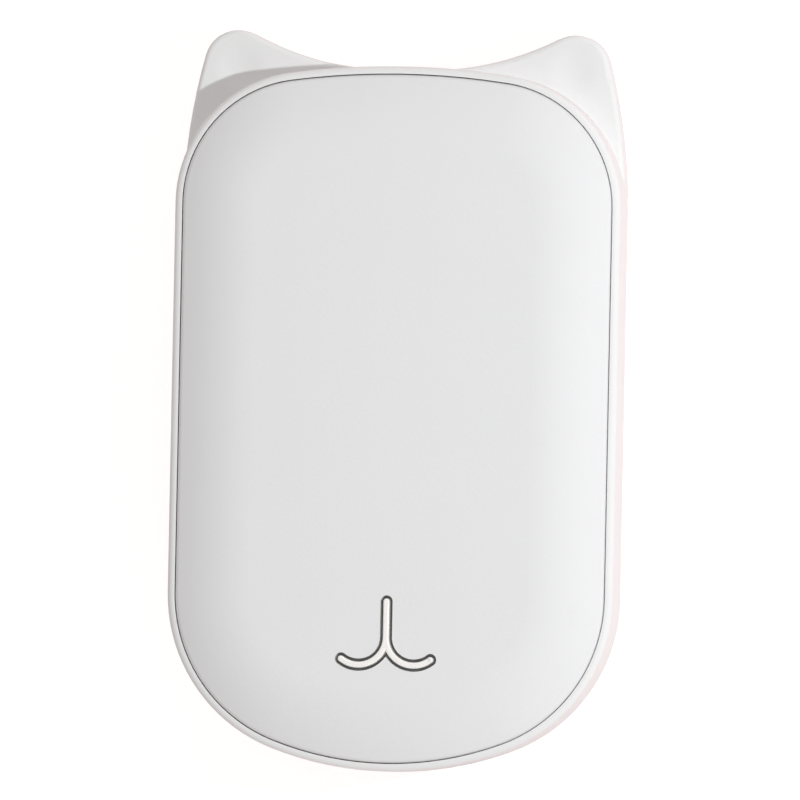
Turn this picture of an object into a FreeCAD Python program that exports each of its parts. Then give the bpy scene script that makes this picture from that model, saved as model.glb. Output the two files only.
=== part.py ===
import FreeCAD, Part
import math
import os
import Sketcher

# Rechargeable hand warmer. Lengths in millimetres, angles in degrees.
# X runs across the case, Y along it towards the ears, Z out of the front face.
# The origin is the middle of the flat rear face on which the case rests.
SIZES = {
    # Outline shared by both covers: straight sides, corner arcs and a crown arc at each end
    "panel_half_width": 32.6,
    "panel_half_length": 51.95,
    "top_corner_radius": 18.8,
    "top_crown_radius": 115.8,
    "bottom_corner_radius": 23.65,
    "bottom_crown_radius": 48.75,
    # Covers
    "shell_wall": 2.0,
    "shell_crown_wall": 2.2,
    "shell_shoulder": 0.9,
    "crown_height": 3.2,
    "crown_reach": 11.2,
    "cavity_reach": 8.0,
    "cover_rounding": 1.0,
    # Frame between the covers
    "seam_gap": 0.12,
    "lip_width": 1.13,
    "lip_rounding": 1.0,
    "rear_taper": 1.25,
    "ledge_inset": 4.5,
    "web_thickness": 2.0,
    # Ears of the frame
    "ear_tip_inset": 6.95,
    "ear_tip_rise": 1.4,
    "ear_tip_radius": 5.2,
    "ear_flank_radius": 90.0,
    "ear_root_drop": 20.5,
    "ear_brow_radius": 45.0,
    "ear_brow_rise": 0.9,
    "ear_thickness": 5.0,
    "ear_drop": 1.5,
    "ear_rounding": 0.8,
    "ear_dish_radius": 18.0,
    "ear_dish_depth": 0.3,
    "ear_dish_blend": 8.0,
    # Snap hooks of the front cover
    "hook_thickness": 1.2,
    "hook_width": 5.0,
    "hook_catch": 0.8,
    "hook_clearance": 0.2,
    "hook_tip": 1.4,
    "hook_margin": 6.2,
    # Screws, lugs and bosses
    "screw_radius": 1.1,
    "screw_head_radius": 2.0,
    "screw_head_height": 1.3,
    "screw_clearance": 0.03,
    "shell_screw_length": 7.0,
    "board_screw_length": 6.0,
    "lug_radius": 3.6,
    "lug_setback": 2.3,
    "top_lug_angle": 62.0,
    "bottom_lug_angle": -32.0,
    "boss_radius": 2.5,
    # Mouth inlay
    "mouth_stroke": 0.9,
    "mouth_clearance": 0.48,
    "mouth_setback": 24.8,
    "mouth_stem_length": 5.85,
    "mouth_arm_radius": 4.2,
    "mouth_arm_angle": 38.0,
    "mouth_rise": 0.35,
    "mouth_rounding": 0.25,
    "guide_flange": 0.9,
    "guide_margin": 1.0,
    "guide_post_radius": 2.0,
    "guide_gap": 0.8,
    # Block of the frame that holds the socket and the button
    "port_block_half_width": 15.0,
    "port_block_depth": 4.25,
    "port_block_height": 6.0,
    "port_room": 2.5,
    "port_spacing": 8.5,
    # Charging socket
    "usb_width": 8.94,
    "usb_height": 3.2,
    "usb_length": 7.35,
    "usb_wall": 0.3,
    "usb_recess": 1.95,
    "usb_clearance": 0.2,
    "usb_mouth_width": 11.6,
    "usb_mouth_height": 5.4,
    "usb_tongue_width": 6.6,
    "usb_tongue_thickness": 0.7,
    "usb_contact_width": 0.26,
    "usb_contact_thickness": 0.08,
    "usb_contact_pitch": 0.75,
    # Button and its switch
    "button_width": 8.0,
    "button_height": 4.0,
    "button_clearance": 0.15,
    "button_recess": 0.15,
    "button_flange": 0.9,
    "button_flange_margin": 0.7,
    "button_seat": 0.05,
    "button_travel": 0.4,
    "plunger_width": 2.8,
    "plunger_height": 1.5,
    "plunger_reach": 1.0,
    "plunger_length": 2.0,
    "plunger_clearance": 0.1,
    "switch_width": 6.0,
    "switch_depth": 3.5,
    "switch_height": 3.3,
    # Main board
    "board_thickness": 1.2,
    "board_side_margin": 15.1,
    "board_inset": 3.2,
    "board_gap": 0.2,
    "board_post_radius": 2.25,
    "board_post_inset": 3.5,
    "board_post_rise": 7.8,
    "led_height": 0.8,
    "led_gap": 0.4,
    # Cells, heating stack and protection board
    "cell_side_margin": 10.1,
    "battery_top_margin": 15.85,
    "cell_thickness": 7.6,
    "cell_rounding": 1.6,
    "cell_tape": 0.2,
    "cell_gap": 1.5,
    "terrace_length": 3.0,
    "tab_width": 4.0,
    "tab_thickness": 0.2,
    "tab_length": 3.0,
    "protection_half_width": 13.0,
    "protection_length": 4.0,
    "protection_thickness": 1.0,
    "protection_gap": 0.4,
    "heat_plate_margin": 2.1,
    "heat_plate_overhang": 6.5,
    "heat_plate_thickness": 0.8,
    "heat_plate_corner": 4.0,
    "film_margin": 1.0,
    "film_thickness": 0.3,
    "film_tail": 4.5,
    "foam_thickness": 1.0,
    "foam_margin": 3.0,
    # Leads and temperature sensor
    "lead_radius": 0.6,
    "lead_bend": 2.4,
    "lead_end_bend": 0.75,
    "heater_lead_radius": 0.45,
    "sensor_lead_radius": 0.25,
    "sensor_height": 0.8,
}

doc = FreeCAD.newDocument("hand_warmer")
sheet = doc.addObject("Spreadsheet::Sheet", "Sizes")
for row, (alias, number) in enumerate(SIZES.items(), 1):
    sheet.set(f"A{row}", alias)
    sheet.set(f"B{row}", str(number))
    sheet.setAlias(f"B{row}", alias)
doc.recompute()


class Size:
    """A length written as a spreadsheet expression, so the model follows the cells."""

    def __init__(self, text):
        self.text = str(text)

    def __add__(self, other):
        return Size(f"({self.text} + {Size.of(other).text})")

    def __radd__(self, other):
        return Size.of(other) + self

    def __sub__(self, other):
        return Size(f"({self.text} - {Size.of(other).text})")

    def __rsub__(self, other):
        return Size.of(other) - self

    def __mul__(self, other):
        return Size(f"({self.text} * {Size.of(other).text})")

    def __rmul__(self, other):
        return Size.of(other) * self

    def __truediv__(self, other):
        return Size(f"({self.text} / {Size.of(other).text})")

    def __neg__(self):
        return 0 - self

    @staticmethod
    def of(item):
        return item if isinstance(item, Size) else Size(item)

    @property
    def value(self):
        return float(sheet.evalExpression(self.text))


class Cells:
    """Gives each spreadsheet cell as a Size under its own name."""

    def __getattr__(self, alias):
        return Size(f"Sizes.{alias}")


cell = Cells()


def root(size):
    return Size(f"sqrt({size.text})")


def cosine(size):
    return Size(f"cos({size.text})")


def sine(size):
    return Size(f"sin({size.text})")


class Outline:
    """Closed outline with straight sides and a crown arc between two corner arcs at each end."""

    def __init__(self, half_width, half_length, top_corner, top_crown, bottom_corner, bottom_crown):
        self.half_width = half_width
        self.half_length = half_length
        self.top_corner = top_corner
        self.top_crown = top_crown
        self.bottom_corner = bottom_corner
        self.bottom_crown = bottom_crown

    def inset(self, step):
        return Outline(
            self.half_width - step,
            self.half_length - step,
            self.top_corner - step,
            self.top_crown - step,
            self.bottom_corner - step,
            self.bottom_crown - step,
        )

    def corner_centre(self, corner, crown):
        across = self.half_width - corner
        reach = crown - corner
        return across, self.half_length - crown + root(reach * reach - across * across)

    def top_corner_centre(self):
        return self.corner_centre(self.top_corner, self.top_crown)

    def bottom_corner_centre(self):
        across, along = self.corner_centre(self.bottom_corner, self.bottom_crown)
        return across, -along


PANEL = Outline(
    cell.panel_half_width,
    cell.panel_half_length,
    cell.top_corner_radius,
    cell.top_crown_radius,
    cell.bottom_corner_radius,
    cell.bottom_crown_radius,
)
REAR_PANEL = PANEL.inset(cell.rear_taper)
BORE = PANEL.inset(-cell.seam_gap)
LIP = BORE.inset(-cell.lip_width)

# Levels along Z follow the stack of cells, foam, films and plates
HEAT_STACK = cell.heat_plate_thickness + cell.film_thickness + cell.foam_thickness
CASE_DEPTH = 2 * (cell.shell_crown_wall + HEAT_STACK + cell.cell_thickness) + cell.cell_tape
MIDDLE = CASE_DEPTH / 2
REAR_FLOOR = cell.shell_crown_wall
FRONT_CEILING = CASE_DEPTH - cell.shell_crown_wall
REAR_LIP = cell.crown_height
FRONT_LIP = CASE_DEPTH - cell.crown_height
WEB_BOTTOM = MIDDLE - cell.web_thickness / 2
WEB_TOP = MIDDLE + cell.web_thickness / 2
BOARD_BOTTOM = MIDDLE + cell.usb_height / 2
BOARD_TOP = BOARD_BOTTOM + cell.board_thickness
PROTECTION_TOP = BOARD_BOTTOM - 2 * cell.lead_radius - 0.2
PROTECTION_BOTTOM = PROTECTION_TOP - cell.protection_thickness
LED_TOP = BOARD_TOP + cell.led_height

# Stations along Y: the ports, the board and the mouth follow the lower end of the case
PORT_FACE = cell.port_block_depth - cell.panel_half_length
PORT_BACK = PORT_FACE + cell.port_room
USB_MOUTH = cell.usb_recess - LIP.half_length
FLANGE_FRONT = PORT_FACE + cell.button_seat
FLANGE_BACK = FLANGE_FRONT + cell.button_flange
MOUTH_TOP = cell.mouth_setback - cell.panel_half_length
MOUTH_FORK = MOUTH_TOP - cell.mouth_stem_length
BOARD_LOW = PORT_FACE + cell.board_gap
POST_Y = BOARD_LOW + cell.board_post_rise

# The cells fill the room from the mouth to the protection board, which follows the upper end
CELL_LOW = MOUTH_TOP + cell.guide_margin / 2 + cell.guide_gap
BOARD_HIGH = CELL_LOW - cell.cell_gap
LEAD_ROW = BOARD_HIGH - 4.0
PROTECTION_HIGH = cell.panel_half_length - cell.battery_top_margin
PROTECTION_LOW = PROTECTION_HIGH - cell.protection_length
TERRACE_HIGH = PROTECTION_LOW - cell.protection_gap
CELL_HIGH = TERRACE_HIGH - cell.terrace_length
PLATE_LOW = CELL_LOW + 0.5
PLATE_HIGH = CELL_HIGH + cell.heat_plate_overhang

# Half widths across X follow the sides of the case
BOARD_SIDE = cell.panel_half_width - cell.board_side_margin
CELL_SIDE = cell.panel_half_width - cell.cell_side_margin
PLATE_SIDE = cell.panel_half_width - cell.shell_wall - cell.cavity_reach - cell.heat_plate_margin
FILM_SIDE = PLATE_SIDE - cell.film_margin
GUIDE_SIDE = (cell.mouth_arm_radius * (1 + sine(cell.mouth_arm_angle)) + cell.mouth_stroke / 2
              + cell.guide_margin)

# Parabolas as shares of the way inwards and along Z: a cover levels out, a flank starts upright
CROWN = [(step, step * (2 - step)) for step in (0, 0.2, 0.4, 0.6, 0.8, 1)]
FLANK = [(step * step, step) for step in (0, 0.25, 0.5, 0.75, 1)]

nodes = []


def keep(item, label):
    """Registers an object as a sub-part under the label that names its file."""
    item.Label = label
    nodes.append(item)
    return item


def bind(item, name, size):
    item.setExpression(name, Size.of(size).text)


def place(item, x, y, z):
    bind(item, "Placement.Base.x", x)
    bind(item, "Placement.Base.y", y)
    bind(item, "Placement.Base.z", z)
    return item


def box(low, high):
    item = doc.addObject("Part::Box", "box")
    spans = [Size.of(far) - near for near, far in zip(low, high)]
    for name, span in zip(("Length", "Width", "Height"), spans):
        bind(item, name, span)
    return place(item, *low)


def rod(radius, x, y, low, high):
    item = doc.addObject("Part::Cylinder", "rod")
    bind(item, "Radius", radius)
    bind(item, "Height", Size.of(high) - low)
    return place(item, x, y, low)


def fuse(*items):
    item = doc.addObject("Part::MultiFuse", "fuse")
    item.Shapes = list(items)
    return item


def cut(base, tool):
    item = doc.addObject("Part::Cut", "cut")
    item.Base = base
    item.Tool = tool
    return item


def common(first, second):
    item = doc.addObject("Part::Common", "common")
    item.Base = first
    item.Tool = second
    return item


def mirror(base):
    item = doc.addObject("Part::Mirroring", "mirror")
    item.Source = base
    item.Normal = FreeCAD.Vector(1, 0, 0)
    return item


def group(items):
    item = doc.addObject("Part::Compound", "group")
    item.Links = list(items)
    return item


def new_body(name):
    return doc.addObject("PartDesign::Body", name)


def origin_plane(body, role):
    return next(item for item in body.Origin.OriginFeatures if item.Role == role)


def new_sketch(body, plane, offset):
    """Opens a sketch on one of the body's own origin planes, moved along the plane's normal."""
    sketch = body.newObject("Sketcher::SketchObject", "sketch")
    sketch.AttachmentSupport = [(origin_plane(body, plane), "")]
    sketch.MapMode = "FlatFace"
    bind(sketch, "AttachmentOffset.Base.z", offset)
    return sketch


def dimension(sketch, kind, *where, size):
    """Adds a dimension to a sketch and binds it to an expression."""
    index = sketch.addConstraint(Sketcher.Constraint(kind, *where, Size.of(size).value))
    bind(sketch, f"Constraints[{index}]", size)


def pin(sketch, shape, point, x, y):
    """Fixes a point of a sketch shape at bound coordinates."""
    dimension(sketch, "DistanceX", -1, 1, shape, point, size=x)
    dimension(sketch, "DistanceY", -1, 1, shape, point, size=y)


def arc(x, y, radius, start, end):
    circle = Part.Circle(FreeCAD.Vector(x, y, 0), FreeCAD.Vector(0, 0, 1), radius)
    return Part.ArcOfCircle(circle, start, end)


def line(x1, y1, x2, y2):
    return Part.LineSegment(FreeCAD.Vector(x1, y1, 0), FreeCAD.Vector(x2, y2, 0))


def draw_polygon(sketch, points):
    count = len(points)
    spots = [(Size.of(x).value, Size.of(y).value) for x, y in points]
    for index, spot in enumerate(spots):
        sketch.addGeometry(line(*spot, *spots[(index + 1) % count]), False)
    for index in range(count):
        sketch.addConstraint(Sketcher.Constraint("Coincident", index, 2, (index + 1) % count, 1))
    for index, (x, y) in enumerate(points):
        pin(sketch, index, 1, x, y)


def draw_circle(sketch, x, y, radius):
    centre = FreeCAD.Vector(Size.of(x).value, Size.of(y).value, 0)
    shape = Part.Circle(centre, FreeCAD.Vector(0, 0, 1), Size.of(radius).value)
    index = sketch.addGeometry(shape, False)
    dimension(sketch, "Radius", index, size=radius)
    pin(sketch, index, 3, x, y)


def join_tangent(sketch, count):
    for index in range(count):
        following = (index + 1) % count
        sketch.addConstraint(Sketcher.Constraint("Tangent", index, 2, following, 1))


def draw_slot(sketch, low, high, radius):
    """Draws a straight slot with round ends around the two end centres."""
    x1, y1, x2, y2, r = (Size.of(item).value for item in (*low, *high, radius))
    lean = math.atan2(y2 - y1, x2 - x1)
    quarter = math.pi / 2
    side_x = r * math.sin(lean)
    side_y = -r * math.cos(lean)
    sketch.addGeometry(line(x1 + side_x, y1 + side_y, x2 + side_x, y2 + side_y), False)
    sketch.addGeometry(arc(x2, y2, r, lean - quarter, lean + quarter), False)
    sketch.addGeometry(line(x2 - side_x, y2 - side_y, x1 - side_x, y1 - side_y), False)
    sketch.addGeometry(arc(x1, y1, r, lean + quarter, lean + 3 * quarter), False)
    join_tangent(sketch, 4)
    for index, spot in ((1, high), (3, low)):
        dimension(sketch, "Radius", index, size=radius)
        pin(sketch, index, 3, *spot)


def draw_arc_slot(sketch, centre, radius, half_stroke, end):
    """Draws a curved slot with round ends from the left of its centre round to the end angle."""
    x, y, r, half = (Size.of(item).value for item in (*centre, radius, half_stroke))
    first = math.pi
    last = math.radians(end.value)
    end_x = x + r * math.cos(last)
    end_y = y + r * math.sin(last)
    sketch.addGeometry(arc(x, y, r + half, first, last), False)
    sketch.addGeometry(arc(end_x, end_y, half, last, last + math.pi), False)
    sketch.addGeometry(arc(x, y, r - half, first, last), False)
    sketch.addGeometry(arc(x - r, y, half, first - math.pi, first), False)
    for here, there in (((0, 2), (1, 1)), ((1, 2), (2, 2)), ((2, 1), (3, 1)), ((3, 2), (0, 1))):
        sketch.addConstraint(Sketcher.Constraint("Tangent", *here, *there))
    sketch.addConstraint(Sketcher.Constraint("Coincident", 2, 3, 0, 3))
    pin(sketch, 0, 3, *centre)
    dimension(sketch, "Radius", 0, size=radius + half_stroke)
    dimension(sketch, "Radius", 1, size=half_stroke)
    dimension(sketch, "DistanceX", -1, 1, 1, 3, size=centre[0] + radius * cosine(end))
    dimension(sketch, "DistanceY", -1, 1, 3, 3, size=centre[1])


def draw_outline(sketch, outline):
    """Draws an outline as two lines and six tangent arcs, anticlockwise from the right side."""
    half_width = outline.half_width.value
    ends = []
    for corner, crown, centre in (
        (outline.top_corner, outline.top_crown, outline.top_corner_centre()),
        (outline.bottom_corner, outline.bottom_crown, outline.bottom_corner_centre()),
    ):
        across, along = (item.value for item in centre)
        crown_y = (outline.half_length - crown).value * math.copysign(1, along)
        turn = math.atan2(abs(along - crown_y), across)
        ends.append((across, along, corner.value, crown.value, crown_y, turn))
    top_x, top_y, top_corner, top_crown, top_crown_y, top_turn = ends[0]
    low_x, low_y, low_corner, low_crown, low_crown_y, low_turn = ends[1]
    half_turn = math.pi
    full_turn = 2 * math.pi
    for shape in (
        line(half_width, low_y, half_width, top_y),
        arc(top_x, top_y, top_corner, 0, top_turn),
        arc(0, top_crown_y, top_crown, top_turn, half_turn - top_turn),
        arc(-top_x, top_y, top_corner, half_turn - top_turn, half_turn),
        line(-half_width, top_y, -half_width, low_y),
        arc(-low_x, low_y, low_corner, half_turn, half_turn + low_turn),
        arc(0, low_crown_y, low_crown, half_turn + low_turn, full_turn - low_turn),
        arc(low_x, low_y, low_corner, full_turn - low_turn, full_turn),
    ):
        sketch.addGeometry(shape, False)
    join_tangent(sketch, 8)
    for index, side in ((0, outline.half_width), (4, -outline.half_width)):
        sketch.addConstraint(Sketcher.Constraint("Vertical", index))
        dimension(sketch, "DistanceX", -1, 1, index, 1, size=side)
    radii = ((1, outline.top_corner), (2, outline.top_crown), (3, outline.top_corner),
             (5, outline.bottom_corner), (6, outline.bottom_crown), (7, outline.bottom_corner))
    for index, radius in radii:
        dimension(sketch, "Radius", index, size=radius)
    pin(sketch, 2, 3, 0, outline.half_length - outline.top_crown)
    pin(sketch, 6, 3, 0, outline.bottom_crown - outline.half_length)


def pad(body, sketch, length, backwards=False):
    feature = body.newObject("PartDesign::Pad", "pad")
    feature.Profile = sketch
    feature.Reversed = backwards
    bind(feature, "Length", length)
    return feature


def pocket(body, sketch, length, backwards=False):
    feature = body.newObject("PartDesign::Pocket", "pocket")
    feature.Profile = sketch
    feature.Reversed = backwards
    bind(feature, "Length", length)
    return feature


def round_edges(body, feature, radius, chosen):
    """Rounds the edges of a feature that the test picks."""
    doc.recompute()
    names = [f"Edge{index}" for index, edge in enumerate(feature.Shape.Edges, 1) if chosen(edge)]
    fillet = body.newObject("PartDesign::Fillet", "fillet")
    fillet.Base = (feature, names)
    bind(fillet, "Radius", radius)
    return fillet


def at_level(*levels):
    """Makes an edge test: true for edges that lie wholly at one of the given heights."""
    heights = [Size.of(level).value for level in levels]

    def test(edge):
        bounds = edge.BoundBox
        return any(
            abs(bounds.ZMin - height) < 1e-4 and abs(bounds.ZMax - height) < 1e-4
            for height in heights
        )

    return test


def upright(edge):
    bounds = edge.BoundBox
    return bounds.XLength < 1e-4 and bounds.YLength < 1e-4


def prism(name, outline, low, high):
    body = new_body(name)
    sketch = new_sketch(body, "XY_Plane", low)
    draw_outline(sketch, outline)
    pad(body, sketch, Size.of(high) - low)
    return body


def outline_loft(body, kind, outline, profile, reach, base, rise):
    """Lofts an outline along a profile of shares: inwards by the reach, along Z by the rise."""
    sketches = []
    for inwards, along in profile:
        sketch = new_sketch(body, "XY_Plane", base + rise * round(along, 4))
        draw_outline(sketch, outline.inset(reach * round(inwards, 4)))
        sketches.append(sketch)
    feature = body.newObject(kind, "outline_loft")
    feature.Profile = sketches[0]
    feature.Sections = sketches[1:]
    return feature


def shell_blank(name, outline, seat, lip, direction):
    """Builds a crowned cover with a skirt: a pad and a loft, hollowed by a pocket and a loft."""
    body = new_body(name)
    forward = direction > 0
    skirt = (lip - seat) * direction
    sketch = new_sketch(body, "XY_Plane", seat)
    draw_outline(sketch, outline)
    pad(body, sketch, skirt, backwards=not forward)
    rise = cell.crown_height * direction
    crown = outline_loft(body, "PartDesign::AdditiveLoft", outline, CROWN, cell.crown_reach, lip, rise)
    round_edges(body, crown, cell.cover_rounding, at_level(lip))
    inner = outline.inset(cell.shell_wall)
    sketch = new_sketch(body, "XY_Plane", seat)
    draw_outline(sketch, inner)
    pocket(body, sketch, skirt - cell.shell_shoulder, backwards=forward)
    shoulder = lip - cell.shell_shoulder * direction
    hollow = (cell.crown_height + cell.shell_shoulder - cell.shell_crown_wall) * direction
    outline_loft(body, "PartDesign::SubtractiveLoft", inner, CROWN, cell.cavity_reach, shoulder, hollow)
    return body


def mouth_strokes(body, level, half_stroke, depth, make):
    """Makes the stem and both arms of the mouth by pads or pockets from one level."""
    sketch = new_sketch(body, "XY_Plane", level)
    stem_high = MOUTH_TOP - cell.mouth_stroke / 2
    draw_slot(sketch, (0, MOUTH_FORK), (0, stem_high), half_stroke)
    make(body, sketch, depth)
    sketch = new_sketch(body, "XY_Plane", level)
    arm_centre = (cell.mouth_arm_radius, MOUTH_FORK)
    draw_arc_slot(sketch, arm_centre, cell.mouth_arm_radius, half_stroke, 270 + cell.mouth_arm_angle)
    arm = make(body, sketch, depth)
    twin = body.newObject("PartDesign::Mirrored", "twin")
    twin.Originals = [arm]
    twin.MirrorPlane = (origin_plane(body, "YZ_Plane"), [""])
    body.Tip = twin
    return twin


def slot_bar(name, x, width, height, near, far):
    """Pads a flat oval bar along Y at the middle level, from the near station to the far one."""
    body = new_body(name)
    sketch = new_sketch(body, "XZ_Plane", -far)
    radius = Size.of(height) / 2
    half = Size.of(width) / 2 - radius
    draw_slot(sketch, (x - half, MIDDLE), (x + half, MIDDLE), radius)
    pad(body, sketch, far - near)
    return body


def rounded_plate(name, low, high, corner):
    """Pads a rectangular plate and rounds its upright corners."""
    body = new_body(name)
    sketch = new_sketch(body, "XY_Plane", low[2])
    draw_polygon(sketch, [(low[0], low[1]), (high[0], low[1]), (high[0], high[1]), (low[0], high[1])])
    plate = pad(body, sketch, Size.of(high[2]) - low[2])
    round_edges(body, plate, corner, upright)
    return body


def draw_hook(sketch, side):
    """Draws the section of a snap hook: a root in the cover wall, an arm and a catch."""
    edge = PANEL.half_width - cell.ledge_inset - cell.hook_clearance
    inner = edge - cell.hook_thickness
    root_x = PANEL.half_width - cell.shell_wall * 0.6
    root_low = WEB_TOP + 0.3
    root_high = FRONT_LIP + 0.25
    catch = WEB_BOTTOM - cell.hook_clearance
    tip = catch - cell.hook_tip
    draw_polygon(sketch, [
        (side * root_x, root_low),
        (side * root_x, root_high),
        (side * inner, root_high),
        (side * inner, tip),
        (side * (edge - 0.2), tip),
        (side * (edge + cell.hook_catch), catch),
        (side * edge, catch),
        (side * edge, root_low),
    ])


def make_front_shell():
    body = shell_blank("front_shell_body", PANEL, WEB_TOP, FRONT_LIP, 1)
    slot_half = cell.mouth_stroke / 2 + cell.mouth_clearance
    mouth_strokes(body, CASE_DEPTH + 1, slot_half, cell.shell_crown_wall + 2, pocket)
    first = PANEL.bottom_corner_centre()[1] + cell.hook_margin
    last = PANEL.top_corner_centre()[1] - cell.hook_margin - cell.hook_width
    for side in (1, -1):
        sketch = new_sketch(body, "XZ_Plane", -first)
        draw_hook(sketch, side)
        hook = pad(body, sketch, cell.hook_width, backwards=True)
        row = body.newObject("PartDesign::LinearPattern", "hook_row")
        row.Originals = [hook]
        row.Direction = (sketch, ["N_Axis"])
        row.Reversed = True
        row.Occurrences = 3
        bind(row, "Length", last - first)
        body.Tip = row
    notch = port_notch(WEB_TOP, MIDDLE + cell.port_block_height / 2 + cell.board_gap)
    keep(cut(body, notch), "front_shell")


def port_notch(low, high):
    """Room in the skirt of a cover for the port block and what lies behind it."""
    side = cell.port_block_half_width + cell.board_gap
    return box((-side, -cell.panel_half_length - 3, low), (side, PORT_BACK, high))


def lug_spots():
    """Centres of the four screw lugs, set back from the ledge along a radius of each corner."""
    spots = []
    rows = ((PANEL.top_corner_centre(), cell.top_corner_radius, cell.top_lug_angle),
            (PANEL.bottom_corner_centre(), cell.bottom_corner_radius, cell.bottom_lug_angle))
    for (x, y), corner, angle in rows:
        reach = corner - cell.ledge_inset - cell.lug_setback
        for side in (1, -1):
            spots.append((side * (x + reach * cosine(angle)), y + reach * sine(angle)))
    return spots


LUGS = lug_spots()
POSTS = [(side * (BOARD_SIDE - cell.board_post_inset), POST_Y) for side in (1, -1)]


def make_rear_shell():
    body = shell_blank("rear_shell_body", REAR_PANEL, WEB_BOTTOM, REAR_LIP, -1)
    foot = REAR_FLOOR - 0.5
    rows = ((LUGS, cell.boss_radius, WEB_BOTTOM, cell.shell_screw_length - cell.web_thickness),
            (POSTS, cell.board_post_radius, BOARD_BOTTOM,
             cell.board_screw_length - cell.board_thickness))
    for spots, radius, top, depth in rows:
        for x, y in spots:
            sketch = new_sketch(body, "XY_Plane", foot)
            draw_circle(sketch, x, y, radius)
            pad(body, sketch, top - foot)
            sketch = new_sketch(body, "XY_Plane", top)
            draw_circle(sketch, x, y, cell.screw_radius + cell.screw_clearance)
            pocket(body, sketch, depth + 0.3)
    notch = port_notch(MIDDLE - cell.port_block_height / 2 - cell.board_gap, WEB_BOTTOM)
    keep(cut(body, notch), "rear_shell")


def make_ear():
    """Pads one ear from a flank arc, a tip arc and a hollow brow arc, rounds it and dishes it."""
    low = MIDDLE - cell.ear_drop - cell.ear_thickness / 2
    high = low + cell.ear_thickness
    ear_x = cell.panel_half_width - cell.ear_tip_inset
    ear_y = cell.panel_half_length + cell.ear_tip_rise
    root_level = cell.panel_half_length - cell.ear_root_drop
    brow_level = cell.panel_half_length + cell.ear_brow_rise + cell.ear_brow_radius
    corner_x = ear_x - 13
    corner_y = root_level + 9
    foot_level = root_level + 2.6
    body = new_body("ear")
    sketch = new_sketch(body, "XY_Plane", low)
    tip_x, tip_y, tip = ear_x.value, ear_y.value, cell.ear_tip_radius.value
    flank, flank_y = cell.ear_flank_radius.value, root_level.value
    brow, brow_y = cell.ear_brow_radius.value, brow_level.value
    flank_x = tip_x - math.sqrt((flank - tip) ** 2 - (tip_y - flank_y) ** 2)
    brow_x = tip_x - math.sqrt((brow + tip) ** 2 - (brow_y - tip_y) ** 2)
    flank_turn = math.atan2(tip_y - flank_y, tip_x - flank_x)
    brow_turn = math.atan2(brow_y - tip_y, brow_x - tip_x)
    foot_turn = math.asin((foot_level.value - flank_y) / flank)
    foot_x = flank_x + flank * math.cos(foot_turn)
    for shape in (
        arc(flank_x, flank_y, flank, foot_turn, flank_turn),
        arc(tip_x, tip_y, tip, flank_turn, brow_turn),
        arc(brow_x, brow_y, brow, 1.5 * math.pi, brow_turn + math.pi),
        line(brow_x, brow_y - brow, corner_x.value, corner_y.value),
        line(corner_x.value, corner_y.value, foot_x, foot_level.value),
    ):
        sketch.addGeometry(shape, False)
    sketch.addConstraint(Sketcher.Constraint("Tangent", 0, 2, 1, 1))
    sketch.addConstraint(Sketcher.Constraint("Tangent", 1, 2, 2, 2))
    for here, there in (((2, 1), (3, 1)), ((3, 2), (4, 1)), ((4, 2), (0, 1))):
        sketch.addConstraint(Sketcher.Constraint("Coincident", *here, *there))
    sketch.addConstraint(Sketcher.Constraint("Vertical", 2, 1, 2, 3))
    radii = (cell.ear_flank_radius, cell.ear_tip_radius, cell.ear_brow_radius)
    for index, radius in enumerate(radii):
        dimension(sketch, "Radius", index, size=radius)
    pin(sketch, 1, 3, ear_x, ear_y)
    pin(sketch, 3, 2, corner_x, corner_y)
    dimension(sketch, "DistanceY", -1, 1, 0, 3, size=root_level)
    dimension(sketch, "DistanceY", -1, 1, 0, 1, size=foot_level)
    dimension(sketch, "DistanceY", -1, 1, 2, 3, size=brow_level)
    blank = pad(body, sketch, cell.ear_thickness)
    level = at_level(low, high)
    round_edges(body, blank, cell.ear_rounding,
                lambda edge: level(edge) and edge.Curve.TypeId == "Part::GeomCircle")
    dish = body.newObject("PartDesign::SubtractiveSphere", "dish")
    dish.AttachmentSupport = [(origin_plane(body, "XY_Plane"), "")]
    dish.MapMode = "FlatFace"
    bind(dish, "Radius", cell.ear_dish_radius)
    bind(dish, "AttachmentOffset.Base.x", ear_x - 0.3)
    bind(dish, "AttachmentOffset.Base.y", ear_y - 0.5)
    bind(dish, "AttachmentOffset.Base.z", high - cell.ear_dish_depth + cell.ear_dish_radius)
    round_edges(body, dish, cell.ear_dish_blend, lambda edge: level(edge) and edge.Closed)
    return body


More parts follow.
